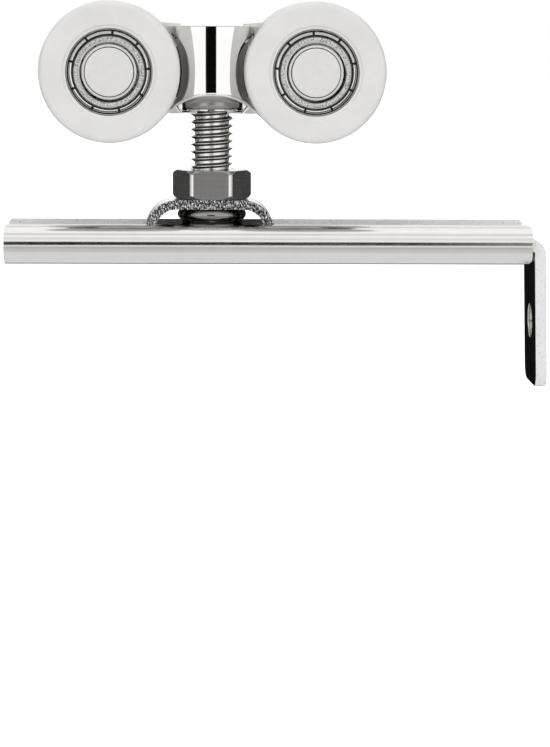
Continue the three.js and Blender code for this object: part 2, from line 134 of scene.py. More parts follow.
def soften(piece, width, segments=2, degrees=38):
    """Breaks the sharp edges, as tumbling does before plating."""
    bevel = piece.modifiers.new("broken_edges", "BEVEL")
    bevel.width = width * MM
    bevel.segments = segments
    bevel.limit_method = "ANGLE"
    bevel.angle_limit = math.radians(degrees)
    bevel.harden_normals = False
    bevel.use_clamp_overlap = True
    apply_all(piece)


def combine(piece, tool, operation):
    """Cuts, joins or keeps the common part of two solids, and clears the tool away."""
    step = piece.modifiers.new(operation.lower(), "BOOLEAN")
    step.operation = operation
    step.solver = "EXACT"
    step.object = tool
    apply_all(piece)
    bpy.data.objects.remove(tool)


def turned(name, profile, centre, axis="Y", steps=96):
    """Turns a profile of [radius, place along the axis] points about a line through the centre."""
    cx, cy, cz = centre
    if axis == "Y":
        points = [(cx + r, cy + along, cz) for r, along in profile]
        line = (0, 1, 0)
    else:
        points = [(cx + r, cy, cz + along) for r, along in profile]
        line = (0, 0, 1)
    on_axis = profile[0][0] == 0 and profile[-1][0] == 0
    piece = draw(name, points, closed=not on_axis)
    bpy.ops.mesh.select_all(action="SELECT")
    bpy.ops.mesh.spin(steps=steps, angle=2 * math.pi, center=[c * MM for c in centre], axis=line)
    face_outwards()
    return piece


def pushed(name, outline, start, end, axis):
    """Pushes a closed outline from start to end along X, Y or Z."""
    length = (end - start) * MM
    if axis == "X":
        points = [(start, a, b) for a, b in outline]
        move = (length, 0, 0)
    elif axis == "Y":
        points = [(a, start, b) for a, b in outline]
        move = (0, length, 0)
    else:
        points = [(a, b, start) for a, b in outline]
        move = (0, 0, length)
    piece = draw(name, points, closed=True)
    bpy.ops.mesh.select_all(action="SELECT")
    bpy.ops.mesh.edge_face_add()
    bpy.ops.mesh.extrude_region_move(TRANSFORM_OT_translate={"value": move})
    face_outwards()
    return piece


def slice_off(piece, point, normal):
    """Saws a piece through a plane and closes the cut; the side that the normal points to goes."""
    take_up(piece)
    bpy.ops.object.mode_set(mode="EDIT")
    bpy.ops.mesh.select_all(action="SELECT")
    bpy.ops.mesh.bisect(plane_co=[c * MM for c in point], plane_no=normal, use_fill=True,
                        clear_outer=True, clear_inner=False)
    bpy.ops.mesh.select_all(action="SELECT")
    bpy.ops.mesh.normals_make_consistent(inside=False)
    bpy.ops.object.mode_set(mode="OBJECT")


def copy_of(piece, name):
    """A copy with a mesh of its own."""
    take_up(piece)
    bpy.ops.object.duplicate(linked=False)
    twin = bpy.context.object
    twin.name = name
    return twin


def corners(node):
    """A CAD node's box in millimetres."""
    low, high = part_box(node)
    return [v / MM for v in low], [v / MM for v in high]


def paint(piece, *finishes):
    """Gives a piece its finishes; the first one covers it all."""
    piece.data.materials.clear()
    for finish in finishes:
        piece.data.materials.append(finish)


def paint_where(piece, index, test):
    """Gives a finish to the faces that pass a test on their middle and direction, in millimetres."""
    count = 0
    for face in piece.data.polygons:
        if test(face.center / MM, face.normal):
            face.material_index = index
            count += 1
    return count


# %% [markdown]
# Finishes. Nickel plate is a warm white metal whose look is nearly all reflection, so each steel piece gets
# its own roughness, its own lines from rolling, pressing or turning, and slight differences of tone. Lines
# along a strip come from noise stretched along it; lathe lines come from rings about the turning axis. A
# flat metal shader would be quicker, but then every piece would look like the same sheet of chrome. Speckle
# on sheared edges is coarse noise with a strong bump, since a shear tears the steel instead of cutting it.
# Trimmed edges have the same noise, pale and shallow. The bottoms of narrow grooves, the thread's downward
# flanks and the hidden ball cages are painted nearly black as shade.

# %% Node helpers
def finish_named(name, metallic, color, roughness):
    """A new finish with its shader's plain values set; returns the finish, its nodes and the shader."""
    finish = bpy.data.materials.new(name)
    finish.use_nodes = True
    tree = finish.node_tree
    shader = tree.nodes["Principled BSDF"]
    shader.inputs["Metallic"].default_value = metallic
    shader.inputs["Base Color"].default_value = (*color, 1)
    shader.inputs["Roughness"].default_value = roughness
    return finish, tree, shader


def placed_pattern(tree, scale, offset=(0, 0, 0)):
    """Object coordinates, moved to the pattern's centre and stretched."""
    where = tree.nodes.new("ShaderNodeTexCoord")
    centre = tree.nodes.new("ShaderNodeMapping")
    centre.inputs["Location"].default_value = [-o * MM for o in offset]
    stretch = tree.nodes.new("ShaderNodeMapping")
    stretch.inputs["Scale"].default_value = scale
    tree.links.new(where.outputs["Object"], centre.inputs["Vector"])
    tree.links.new(centre.outputs["Vector"], stretch.inputs["Vector"])
    return stretch.outputs["Vector"]


def grain(tree, vector, scale, detail=3, roughness=0.55):
    """Noise as one value between nought and one."""
    noise = tree.nodes.new("ShaderNodeTexNoise")
    noise.inputs["Scale"].default_value = scale
    noise.inputs["Detail"].default_value = detail
    noise.inputs["Roughness"].default_value = roughness
    tree.links.new(vector, noise.inputs["Vector"])
    return noise.outputs["Fac"]


def rings(tree, vector, scale, axis):
    """Rings about an axis, as a lathe tool leaves them."""
    wave = tree.nodes.new("ShaderNodeTexWave")
    wave.wave_type = "RINGS"
    wave.rings_direction = axis
    wave.inputs["Scale"].default_value = scale
    wave.inputs["Distortion"].default_value = 1.5
    wave.inputs["Detail"].default_value = 2
    wave.inputs["Detail Scale"].default_value = 2
    tree.links.new(vector, wave.inputs["Vector"])
    return wave.outputs["Fac"]


def spread(tree, value, stops):
    """Maps a value through a ramp of (place, grey or colour) stops."""
    ramp = tree.nodes.new("ShaderNodeValToRGB")
    while len(ramp.color_ramp.elements) > 1:
        ramp.color_ramp.elements.remove(ramp.color_ramp.elements[0])
    for i, (place, color) in enumerate(stops):
        tone = (color, color, color) if isinstance(color, (int, float)) else color
        stop = ramp.color_ramp.elements[0] if i == 0 else ramp.color_ramp.elements.new(place)
        stop.position = place
        stop.color = (*tone, 1)
    tree.links.new(value, ramp.inputs["Fac"])
    return ramp.outputs["Color"]


def blend_values(tree, a, b, share):
    """Mixes two values, with the share that the second one has."""
    mix = tree.nodes.new("ShaderNodeMix")
    mix.data_type = "FLOAT"
    mix.inputs["Factor"].default_value = share
    tree.links.new(a, mix.inputs["A"])
    tree.links.new(b, mix.inputs["B"])
    return mix.outputs["Result"]


def relief(tree, shader, height, strength, depth):
    """Raises the surface by a value, to a depth in millimetres."""
    bump = tree.nodes.new("ShaderNodeBump")
    bump.inputs["Strength"].default_value = strength
    bump.inputs["Distance"].default_value = depth * MM
    tree.links.new(height, bump.inputs["Height"])
    tree.links.new(bump.outputs["Normal"], shader.inputs["Normal"])


def drive(tree, shader, channel, value, stops):
    """Lets a value, mapped through a ramp, set one channel of the shader."""
    tree.links.new(spread(tree, value, stops), shader.inputs[channel])


def strip_steel(name, tone, rough, line_scale, wave_depth, metallic=1.0):
    """Plated strip with lines along X from the rolls and a slight unevenness in its flatness."""
    finish, tree, shader = finish_named(name, metallic, tone, rough[0])
    lines = grain(tree, placed_pattern(tree, line_scale), 1.0, 4)
    clouds = grain(tree, placed_pattern(tree, (1, 1, 1)), 260, 3)
    both = blend_values(tree, lines, clouds, 0.35)
    low = [c * 0.9 for c in tone]
    drive(tree, shader, "Base Color", both, [(0.3, low), (0.7, tone)])
    drive(tree, shader, "Roughness", both, [(0.3, rough[0]), (0.75, rough[1])])
    relief(tree, shader, both, 0.35, wave_depth)
    return finish


def lathe_steel(name, tone, rough, centre, axis, ring_scale=900, metallic=1.0):
    """Turned and plated steel: faint rings about the turning axis, and clouds of wear."""
    finish, tree, shader = finish_named(name, metallic, tone, rough[0])
    lines = rings(tree, placed_pattern(tree, (1, 1, 1), centre), ring_scale, axis)
    clouds = grain(tree, placed_pattern(tree, (1, 1, 1)), 900, 3)
    both = blend_values(tree, lines, clouds, 0.5)
    low = [c * 0.88 for c in tone]
    drive(tree, shader, "Base Color", both, [(0.25, low), (0.75, tone)])
    drive(tree, shader, "Roughness", both, [(0.25, rough[0]), (0.8, rough[1])])
    relief(tree, shader, both, 0.2, 0.01)
    return finish


# %% The finishes themselves
left_low, left_high = corners("tyre_left_front")
right_low, right_high = corners("tyre_right_front")
axle_left = [(a + b) / 2 for a, b in zip(left_low, left_high)]
axle_right = [(a + b) / 2 for a, b in zip(right_low, right_high)]

rolled_nickel = strip_steel("rolled_nickel", (0.80, 0.785, 0.765), (0.10, 0.20), (25, 2600, 2600), 0.012)
# Also gives the nut's top, chamfer and upright edges a painted highlight.
bridge_nickel_and_nut_highlight = strip_steel("bridge_nickel_and_nut_highlight", (0.82, 0.805, 0.785), (0.14, 0.26), (60, 900, 900), 0.02)
pressed_nickel = strip_steel("pressed_nickel", (0.90, 0.89, 0.87), (0.02, 0.05), (400, 400, 60), 0.004)
# Dark grey tone as painted shade: it stands for the dark inside of the carriage, reflected in the dome under
# the arch.
shaded_dome_nickel = strip_steel("shaded_dome_nickel", (0.40, 0.39, 0.385), (0.24, 0.38), (40, 300, 2800), 0.02)
# Dark tone as painted shade on the nut's flats.
shaded_nut_nickel = strip_steel("shaded_nut_nickel", (0.36, 0.35, 0.345), (0.20, 0.34), (50, 300, 2400), 0.02)
satin_nickel = strip_steel("satin_nickel", (0.95, 0.94, 0.92), (0.40, 0.55), (700, 700, 900), 0.006,
                           metallic=0.25)
thread_nickel = strip_steel("thread_nickel", (0.88, 0.865, 0.84), (0.20, 0.30), (500, 500, 900), 0.02)
# Dark tone as painted shade: the collar sits in the shade under the bridge, among dark reflections.
shaded_collar_nickel = strip_steel("shaded_collar_nickel", (0.30, 0.295, 0.285), (0.05, 0.08), (300, 300, 900), 0.01)


STROKE_SLANT = math.radians(28)


def cut_edge_steel(name, metallic, stops, strength, size):
    """The edge that a press leaves: short slanting strokes, dark in the pits and pale on the crests."""
    finish, tree, shader = finish_named(name, metallic, (0.6, 0.58, 0.55), 0.4)
    strokes = placed_pattern(tree, (1, 1, 1))
    slant = strokes.node
    slant.inputs["Rotation"].default_value = (0, STROKE_SLANT, 0)
    slant.inputs["Scale"].default_value = (size * 1.6, size, size * 0.75)
    specks = grain(tree, strokes, 1.0, 4, 0.75)
    drive(tree, shader, "Base Color", specks, stops)
    drive(tree, shader, "Roughness", specks, [(0.4, 0.5), (0.6, 0.25)])
    relief(tree, shader, specks, strength, 0.10)
    return finish


def painted_groove_shade():
    """Painted shade: near black, for the bottoms of narrow grooves and other places that lie in shade."""
    finish, tree, shader = finish_named("painted_groove_shade", 0.4, (0.012, 0.011, 0.010), 0.5)
    shade_variation = grain(tree, placed_pattern(tree, (1, 1, 1)), 1800, 3)
    drive(tree, shader, "Base Color", shade_variation, [(0.35, 0.006), (0.7, 0.03)])
    relief(tree, shader, shade_variation, 0.3, 0.02)
    return finish


def shield_steel():
    """Thin dull sheet with a fine pale speckle."""
    finish, tree, shader = finish_named("shield_steel", 0.6, (0.7, 0.69, 0.67), 0.35)
    specks = grain(tree, placed_pattern(tree, (1, 1, 1)), 4200, 3, 0.7)
    drive(tree, shader, "Base Color", specks, [(0.37, 0.12), (0.46, 0.62), (0.58, 0.93)])
    drive(tree, shader, "Roughness", specks, [(0.4, 0.45), (0.6, 0.3)])
    relief(tree, shader, specks, 0.35, 0.02)
    return finish


def nylon():
    """Moulded plastic that lets a little light in."""
    finish, tree, shader = finish_named("moulded_nylon", 0.0, (0.88, 0.87, 0.845), 0.42)
    clouds = grain(tree, placed_pattern(tree, (1, 1, 1)), 140, 4)
    fine = grain(tree, placed_pattern(tree, (1, 1, 1)), 2200, 2)
    both = blend_values(tree, clouds, fine, 0.4)
    drive(tree, shader, "Base Color", clouds, [(0.3, (0.87, 0.858, 0.83)), (0.7, (0.93, 0.92, 0.90))])
    drive(tree, shader, "Roughness", both, [(0.35, 0.38), (0.65, 0.5)])
    shader.inputs["Subsurface Weight"].default_value = 0.15
    shader.inputs["Subsurface Radius"].default_value = (0.002, 0.0018, 0.0015)
    shader.inputs["Specular IOR Level"].default_value = 0.35
    relief(tree, shader, fine, 0.15, 0.01)
    return finish


sheared = cut_edge_steel("sheared_steel", 1.0, [(0.47, 0.01), (0.53, 0.18), (0.57, 0.97)], 1.0, 2600)
trimmed = cut_edge_steel("trimmed_edge", 0.1, [(0.36, 0.70), (0.44, 0.93), (0.56, 0.98)], 0.2, 1800)
groove_shade_finish = painted_groove_shade()
shield_grey = shield_steel()
tyre_nylon = nylon()
rivet_finish = {
    end: lathe_steel(f"rivet_face_{end}", (0.95, 0.94, 0.92), (0.45, 0.52), place, "Y", metallic=0.3)
    for end, place in (("left", axle_left), ("right", axle_right))
}
# Ground race steel, also put on the shield's crests and curled rim as a painted highlight.
race_finish_and_crest_highlight = {
    end: lathe_steel(f"ground_race_with_crest_highlight_{end}", (0.78, 0.77, 0.75), (0.12, 0.24), place, "Y")
    for end, place in (("left", axle_left), ("right", axle_right))
}
print("finishes", len(bpy.data.materials), "axles", [round(v, 2) for v in axle_left + axle_right])

# %% [markdown]
# Tyre. It is a moulded nylon ring with softly rounded corners, pressed over the bearing, and a low rim runs
# round the bearing's seat. A cylinder with bevels would do, but a turned profile gives the corner radius,
# the rim and the bore in one go, as the mould does. One is made at the left front and copied to the other
# three places.

# %% Wheels: the places
FRONT, BACK = -1, 1
AXLE_Z = axle_left[2]
WHEEL_Y = abs(axle_left[1])
TYRE_R = (left_high[0] - left_low[0]) / 2
TYRE_HALF = (left_high[1] - left_low[1]) / 2
race_low, race_high = corners("outer_race_left_front")
RACE_HALF = (race_high[1] - race_low[1]) / 2
WHEELS = {
    "left_front": (axle_left[0], FRONT, 6.6),
    "left_back": (axle_left[0], BACK, 21.0),
    "right_front": (axle_right[0], FRONT, 15.8),
    "right_back": (axle_right[0], BACK, -8.0),
}
print("tyre", round(TYRE_R, 2), round(TYRE_HALF, 2), "race half", round(RACE_HALF, 2))


def at_wheel(profile):
    """Profiles are drawn with y towards the outside of the wheel, about the bearing's middle."""
    return [(r, -y) for r, y in profile]


# %% The tyre's profile
CORNER = 1.15
tyre_side = TYRE_HALF - CORNER
tyre_profile = (
    [(8.06, -(TYRE_HALF - 0.5)), (8.45, -(TYRE_HALF - 0.42)), (8.75, -(TYRE_HALF - 0.06)), (9.1, -TYRE_HALF)]
    + arc(TYRE_R - CORNER, -tyre_side, CORNER, -90, 0, 9)
    + arc(TYRE_R - CORNER, tyre_side, CORNER, 0, 90, 9)
    + [(9.1, TYRE_HALF), (8.75, TYRE_HALF - 0.06), (8.45, TYRE_HALF - 0.42), (8.06, TYRE_HALF - 0.5)]
)
home = (axle_left[0], -WHEEL_Y, AXLE_Z)
tyre = turned("tyre_fine", at_wheel(tyre_profile), home, steps=128)
paint(tyre, tyre_nylon)
shade(tyre, 24)
print("tyre faces", len(tyre.data.polygons))

# %% [markdown]
# Ball bearing. Seen from the side it is a nest of rings: the bright inner race, a thin dark gap, the grey
# pressed shield, and the outer race. The shield is held by its rim, which is curled into a groove and
# nicked nine times so that it grips; the nicks show as short dark ticks. The rings are turned. The curled
# rim is one short arc, made by spinning a small section through a little less than a ninth of a turn, and
# then repeated nine times.

# %% Races
inner_profile = [
    (4.02, -RACE_HALF + 0.30), (4.58, -RACE_HALF + 0.22), (4.66, -RACE_HALF), (4.99, -RACE_HALF),
    (5.09, -RACE_HALF + 0.12), (5.09, -1.1), (4.9, 0), (5.09, 1.1), (5.09, RACE_HALF - 0.12),
    (4.99, RACE_HALF), (4.66, RACE_HALF), (4.58, RACE_HALF - 0.22), (4.02, RACE_HALF - 0.30),
]
inner_race = turned("inner_race_fine", at_wheel(inner_profile), home, steps=96)
SEAT = RACE_HALF - 0.5
outer_profile = [
    (7.99, -RACE_HALF + 0.2), (7.99, RACE_HALF - 0.2), (7.95, RACE_HALF - 0.04), (7.90, RACE_HALF),
    (7.80, RACE_HALF), (7.76, RACE_HALF - 0.05), (7.68, SEAT), (7.02, SEAT), (7.02, 1.1), (7.3, 0),
    (7.02, -1.1), (7.02, -SEAT), (7.68, -SEAT), (7.76, -RACE_HALF + 0.05), (7.80, -RACE_HALF),
    (7.90, -RACE_HALF), (7.95, -RACE_HALF + 0.04),
]
outer_race = turned("outer_race_fine", at_wheel(outer_profile), home, steps=96)
for race in (inner_race, outer_race):
    paint(race, race_finish_and_crest_highlight["left"], groove_shade_finish, satin_nickel)
    shade(race, 30)


def out_from_axle(c):
    """How far a face's middle lies from the left axle."""
    return math.hypot(c.x - home[0], c.z - home[2])


# Painted shade: the races' groove floors, the inner race's bore chamfer and ball track, and the outer race's
# seat are painted near black.
paint_where(inner_race, 1, lambda c, n: out_from_axle(c) < 4.65 or out_from_axle(c) > 5.05)
paint_where(inner_race, 2, lambda c, n: 4.65 < out_from_axle(c) < 5.05)
paint_where(outer_race, 1, lambda c, n: 7.0 < out_from_axle(c) < 7.75)
print("races", len(inner_race.data.polygons), len(outer_race.data.polygons))

# %% Shield and its nicked rim
shield_profile = [
    (5.42, SEAT + 0.04), (5.42, SEAT + 0.32), (5.48, SEAT + 0.40), (5.66, SEAT + 0.42), (5.76, SEAT + 0.34),
    (6.02, SEAT + 0.32), (6.44, SEAT + 0.33), (6.52, SEAT + 0.42), (6.66, SEAT + 0.42), (6.72, SEAT + 0.34),
    (6.73, SEAT + 0.10), (7.00, SEAT + 0.08), (7.62, SEAT + 0.08), (7.62, SEAT + 0.04),
]
shield = turned("shield_fine", at_wheel(shield_profile), home, steps=96)

NICKS = 9
CURL_TURN = math.radians(360 / NICKS - 3.6)
curl = [
    (6.97, SEAT + 0.07), (6.96, SEAT + 0.28), (7.02, SEAT + 0.42), (7.14, SEAT + 0.48), (7.42, SEAT + 0.48),
    (7.52, SEAT + 0.42), (7.57, SEAT + 0.30), (7.57, SEAT + 0.07),
]
curl_points = [(home[0] + r, home[1] - y, home[2]) for r, y in curl]
rim = draw("shield_rim", curl_points, closed=True)
bpy.ops.mesh.select_all(action="SELECT")
bpy.ops.mesh.edge_face_add()
bpy.ops.mesh.spin(steps=12, angle=CURL_TURN, center=[c * MM for c in home], axis=(0, 1, 0))
face_outwards()
print("one rim piece", len(rim.data.polygons), "faces")

# %% Nine rim pieces round the shield
take_up(rim)
bpy.ops.object.mode_set(mode="EDIT")
bpy.ops.mesh.select_all(action="SELECT")
bpy.ops.mesh.spin(steps=NICKS - 1, dupli=True, angle=2 * math.pi * (NICKS - 1) / NICKS,
                  center=[c * MM for c in home], axis=(0, 1, 0))
bpy.ops.object.mode_set(mode="OBJECT")
# The shield's curled rim and raised crests get the bright race finish as a painted highlight; its groove
# under the rim and its inner edge get near-black painted shade, which draws the dark ticks at the nicks.
paint(shield, shield_grey, race_finish_and_crest_highlight["left"], groove_shade_finish)
paint(rim, race_finish_and_crest_highlight["left"])
crest_highlight_faces = paint_where(
    shield, 1, lambda c, n: 5.5 < out_from_axle(c) < 5.72 or 6.46 < out_from_axle(c) < 6.71)
shaded_groove_faces = paint_where(shield, 2, lambda c, n: out_from_axle(c) > 6.715 or out_from_axle(c) < 5.46)
take_up(rim)
shield.select_set(True)
bpy.context.view_layer.objects.active = shield
bpy.ops.object.join()
shade(shield, 30)
print("shield faces", len(shield.data.polygons), "bright lips", crest_highlight_faces, "dark groove", shaded_groove_faces)

# %% [markdown]
# Axle. One rivet runs through both wheels of an end. Its heads are the bright discs in the middle of the
# wheels: pressed flat, with a rounded edge that leaves a fine dark line against the inner race. A ring
# spacer on each side holds the inner race off the steel body. Both are plain turned pieces.

# %% Axles and spacers
axle_high = corners("axle_left")[1]
HEAD_Y = axle_high[1]
HEAD_SEAT = WHEEL_Y + RACE_HALF + 0.05
head_half = (
    [(3.95, 0.0), (3.95, HEAD_SEAT), (4.40, HEAD_SEAT), (4.50, HEAD_SEAT + 0.08), (4.50, HEAD_Y - 0.26)]
    + arc(4.24, HEAD_Y - 0.26, 0.26, 15, 90, 5)
    + [(3.9, HEAD_Y - 0.012), (0, HEAD_Y - 0.02)]
)
axle_profile = [(r, -y) for r, y in head_half[:0:-1]] + head_half[1:]
spacer_low, spacer_high = corners("spacer_left_front")
SPACER_HALF = (spacer_high[1] - spacer_low[1]) / 2
spacer_y = (spacer_high[1] + spacer_low[1]) / 2
spacer_profile = [
    (4.0, -SPACER_HALF), (4.85, -SPACER_HALF), (5.0, -SPACER_HALF + 0.15), (5.0, SPACER_HALF - 0.15),
    (4.85, SPACER_HALF), (4.0, SPACER_HALF),
]
for end, place in (("left", axle_left), ("right", axle_right)):
    rivet = turned(f"rivet_axle_{end}", axle_profile, (place[0], 0, AXLE_Z), steps=96)
    paint(rivet, rivet_finish[end])
    shade(rivet, 28)
    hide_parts(f"axle_{end}")
    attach(rivet, "carriage")
    for face, side in (("front", -1), ("back", 1)):
        middle = (place[0], side * abs(spacer_y), AXLE_Z)
        ring = turned(f"spacer_fine_{end}_{face}", spacer_profile, middle, steps=64)
        paint(ring, race_finish_and_crest_highlight[end])
        shade(ring, 28)
        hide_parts(f"spacer_{end}_{face}")
        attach(ring, "carriage")
print("rivet head", round(HEAD_Y, 2), "spacer half", round(SPACER_HALF, 2))

# %% [markdown]
# The four wheels. The pieces above are for the left front wheel, so each is copied, turned about the axle
# so that no two bearings show their nicks alike, and for the back pair turned half round so that it faces
# the wall. Mirroring would be the other way, but a half turn keeps every face outwards.

# %% Copies for each wheel
from mathutils import Matrix


def set_down(piece, name, x, y, half_turn, phase):
    """Copies a left front piece to a wheel, with its own mesh."""
    twin = copy_of(piece, name)
    to_middle = Matrix.Translation([-c * MM for c in home])
    roll = Matrix.Rotation(-math.radians(phase), 4, "Y")
    face_round = Matrix.Rotation(math.pi if half_turn else 0.0, 4, "Z")
    to_place = Matrix.Translation((x * MM, y * MM, AXLE_Z * MM))
    twin.matrix_world = to_place @ face_round @ roll @ to_middle
    settle(twin)
    return twin


def change_finish(piece, old, new):
    """Swaps one finish of a copy for its own."""
    for i, finish in enumerate(piece.data.materials):
        if finish == old:
            piece.data.materials[i] = new


for tag, (x, side, phase) in WHEELS.items():
    end = tag.split("_")[0]
    y = side * WHEEL_Y
    outwards_back = side == BACK
    made = [
        (tyre, "tyre", "nylon", f"wheel_{tag}", outwards_back, phase),
        (outer_race, "outer_race", "race", f"wheel_{tag}", outwards_back, phase),
        (shield, "shield_outside", "shield", f"wheel_{tag}", outwards_back, phase),
        (shield, "shield_inside", "shield", f"wheel_{tag}", not outwards_back, -phase),
        (inner_race, "inner_race", "race", "carriage", outwards_back, phase),
    ]
    for pattern, part, slot, rides_on, half_turn, turn in made:
        piece = set_down(pattern, f"{part}_fine_{tag}", x, y, half_turn, turn)
        change_finish(piece, race_finish_and_crest_highlight["left"], race_finish_and_crest_highlight[end])
        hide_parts(f"{part}_{tag}")
        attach(piece, rides_on)
    # The hidden ball cages are painted near black as shade.
    paint(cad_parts[f"ball_cage_{tag}"], groove_shade_finish)
for pattern in (tyre, inner_race, outer_race, shield):
    bpy.data.objects.remove(pattern)
print("wheels", list(WHEELS))

# %% [markdown]
# Carriage body. Two pressings are clamped back to back. Each has half of an upright barrel that holds the
# bolt's head, waisted where the wheels pass, and an arched window, open at its foot, with a rolled bead
# along its arch. It could be bent from sheet in steps, but the waist is simply what two wheel pockets leave
# of a round barrel, so it is made as a solid barrel and web, with the pockets, the window, the well and the
# bores cut out, and then sawn down the middle. The pockets widen outwards, and the arch is part of one
# circle, so both are cut by turned tools.

# %% Barrel, web and cuts
body_low, body_high = corners("carriage_front")
BODY_BOTTOM, BODY_TOP = AXLE_Z - 7.9, AXLE_Z + 8.4
BARREL_R = -body_low[1]
WEB_HALF, WEB_END_R, NECK_X, KNEE_X = 2.5, body_high[0] - axle_right[0], 8.4, 10.4
POCKET_Y, POCKET_R, POCKET_FLARE = 4.4, 13.4, 0.42
WINDOW_R, WINDOW_Z, WINDOW_Y = 12.0, 19.9, 3.2
WELL_R, WELL_FLOOR = 6.5, BODY_BOTTOM + 0.5
BOLT_HOLE_R, AXLE_HOLE_R = 4.3, 4.1
FAR = 30.0


def round_bar(name, r, centre, half, axis, steps=128):
    """A turned bar that reaches half its length to each side of its centre."""
    return turned(name, [(0, -half), (r, -half), (r, half), (0, half)], centre, axis, steps)


body = round_bar("carriage_body", BARREL_R, (0, 0, (BODY_BOTTOM + BODY_TOP) / 2),
                 (BODY_TOP - BODY_BOTTOM) / 2, "Z", 160)
reach = math.hypot(axle_right[0], BODY_TOP - AXLE_Z)
tilt = math.degrees(math.asin(WEB_END_R / reach) - math.asin((BODY_TOP - AXLE_Z) / reach))
web_outline = (
    [(NECK_X, BODY_BOTTOM), (KNEE_X, AXLE_Z - WEB_END_R)]
    + arc(axle_right[0], AXLE_Z, WEB_END_R, -90, 90 + tilt, 64)
    + [(0, BODY_TOP)]
    + arc(axle_left[0], AXLE_Z, WEB_END_R, 90 - tilt, 270, 64)
    + [(-KNEE_X, AXLE_Z - WEB_END_R), (-NECK_X, BODY_BOTTOM)]
)
combine(body, pushed("web", web_outline, -WEB_HALF, WEB_HALF, "Y"), "UNION")
for side in (-1, 1):
    for x in (axle_left[0], axle_right[0]):
        pocket_profile = [
            (0, side * POCKET_Y), (POCKET_R, side * POCKET_Y),
            (POCKET_R + POCKET_FLARE * FAR, side * (POCKET_Y + FAR)), (0, side * (POCKET_Y + FAR)),
        ]
        combine(body, turned("pocket", pocket_profile, (x, 0, AXLE_Z), "Y", 192), "DIFFERENCE")
    window_profile = [
        (0, side * WINDOW_Y), (WINDOW_R, side * WINDOW_Y), (WINDOW_R, side * FAR), (0, side * FAR),
    ]
    combine(body, turned("window", window_profile, (0, 0, WINDOW_Z), "Y", 256), "DIFFERENCE")
combine(body, round_bar("well", WELL_R, (0, 0, WELL_FLOOR + FAR), FAR, "Z"), "DIFFERENCE")
combine(body, round_bar("bolt_hole", BOLT_HOLE_R, (0, 0, BODY_BOTTOM), FAR / 6, "Z"), "DIFFERENCE")
for x in (axle_left[0], axle_right[0]):
    combine(body, round_bar("axle_hole", AXLE_HOLE_R, (x, 0, AXLE_Z), FAR, "Y"), "DIFFERENCE")
print("carriage body faces", len(body.data.polygons))

# %% Saw it in two, break the edges, roll the bead
TORN_FROM_Z = 6.2
BEAD_FROM, BEAD_SWEEP, BEAD_STEPS = 46, 88, 40
BEAD_WIRE_R, BEAD_SUNK = 0.30, 0.12


def on_cut_edge(c, n):
    """The pocket walls near their upper and lower ends, where the press tore the sheet."""
    x = c.x - (axle_left[0] if c.x < 0 else axle_right[0])
    on_wall = abs(math.hypot(x, c.z - AXLE_Z) - POCKET_R - POCKET_FLARE * (abs(c.y) - POCKET_Y)) < 0.15
    return on_wall and abs(c.y) > POCKET_Y + 0.1 and abs(c.z - AXLE_Z) > TORN_FROM_Z


arch_angles = [math.radians(BEAD_FROM + BEAD_SWEEP * i / BEAD_STEPS) for i in range(BEAD_STEPS + 1)]
for face, side in (("front", -1), ("back", 1)):
    half = copy_of(body, f"carriage_half_{face}")
    slice_off(half, (0, 0, 0), (0, -side, 0))
    take_up(half)
    bpy.ops.object.mode_set(mode="EDIT")
    bpy.ops.mesh.select_all(action="SELECT")
    bpy.ops.mesh.remove_doubles(threshold=5e-6)
    bpy.ops.object.mode_set(mode="OBJECT")
    paint(half, pressed_nickel, sheared, satin_nickel)
    rough_faces = paint_where(half, 1, on_cut_edge)
    paint_where(half, 2, lambda c, n: abs(n.y) > 0.95 and abs(abs(c.y) - WEB_HALF) < 0.1)
    soften(half, 0.22, 3, 40)
    shade(half, 30)
    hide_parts(f"carriage_{face}")
    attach(half, "carriage")
    route = []
    for a in arch_angles:
        bx = WINDOW_R * math.cos(a)
        by = side * (math.sqrt(BARREL_R ** 2 - bx ** 2) - BEAD_SUNK)
        route.append((bx, by, WINDOW_Z + WINDOW_R * math.sin(a)))
    bead = draw(f"window_bead_{face}", route, closed=False)
    bpy.ops.object.mode_set(mode="OBJECT")
    bpy.ops.object.convert(target="CURVE")
    bead.data.bevel_depth = BEAD_WIRE_R * MM
    bead.data.bevel_resolution = 4
    bead.data.use_fill_caps = True
    bpy.ops.object.convert(target="MESH")
    bead = bpy.context.object
    paint(bead, pressed_nickel)
    shade(bead, 50)
    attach(bead, "carriage")
    print(face, "faces", len(half.data.polygons), "sheared", rough_faces, "bead", len(bead.data.polygons))
bpy.data.objects.remove(body)

# %% [markdown]
# Hanger bolt. Its thread has 18 turns to the inch with sixty degree flanks and small flats. A helix can be
# had by bending a ring, or by an add-on, but the surest way is the one a lathe uses: one turn's profile is
# drawn and swept round while it climbs one pitch, turn after turn. The ends are sawn flat. The head is a
# low dome that sits on a thrust washer in the carriage's well.

# %% Bolt, head and washer
bolt_low, bolt_high = corners("hanger_bolt")
PITCH = 25.4 / 18
CREST, ROOT = 3.96, 3.26
RISE = (CREST - ROOT) * math.tan(math.radians(30))
FLAT = 0.16
THREAD_TOP = BODY_BOTTOM + 1.4
turns = math.ceil((THREAD_TOP - bolt_low[2]) / PITCH) + 3
start_z = bolt_low[2] - 1.6 * PITCH
root_run = PITCH - FLAT - 2 * RISE
thread_profile = [
    (ROOT, 0), (ROOT, root_run), (CREST - 0.05, root_run + RISE - 0.03), (CREST, root_run + RISE + 0.03),
    (CREST, root_run + RISE + FLAT - 0.03), (CREST - 0.05, root_run + RISE + FLAT + 0.03), (ROOT, PITCH),
]
bolt = draw("bolt_thread", [(r, 0, start_z + z) for r, z in thread_profile], closed=False)
bpy.ops.object.mode_set(mode="OBJECT")
sweep = bolt.modifiers.new("one_turn_after_another", "SCREW")
sweep.axis = "Z"
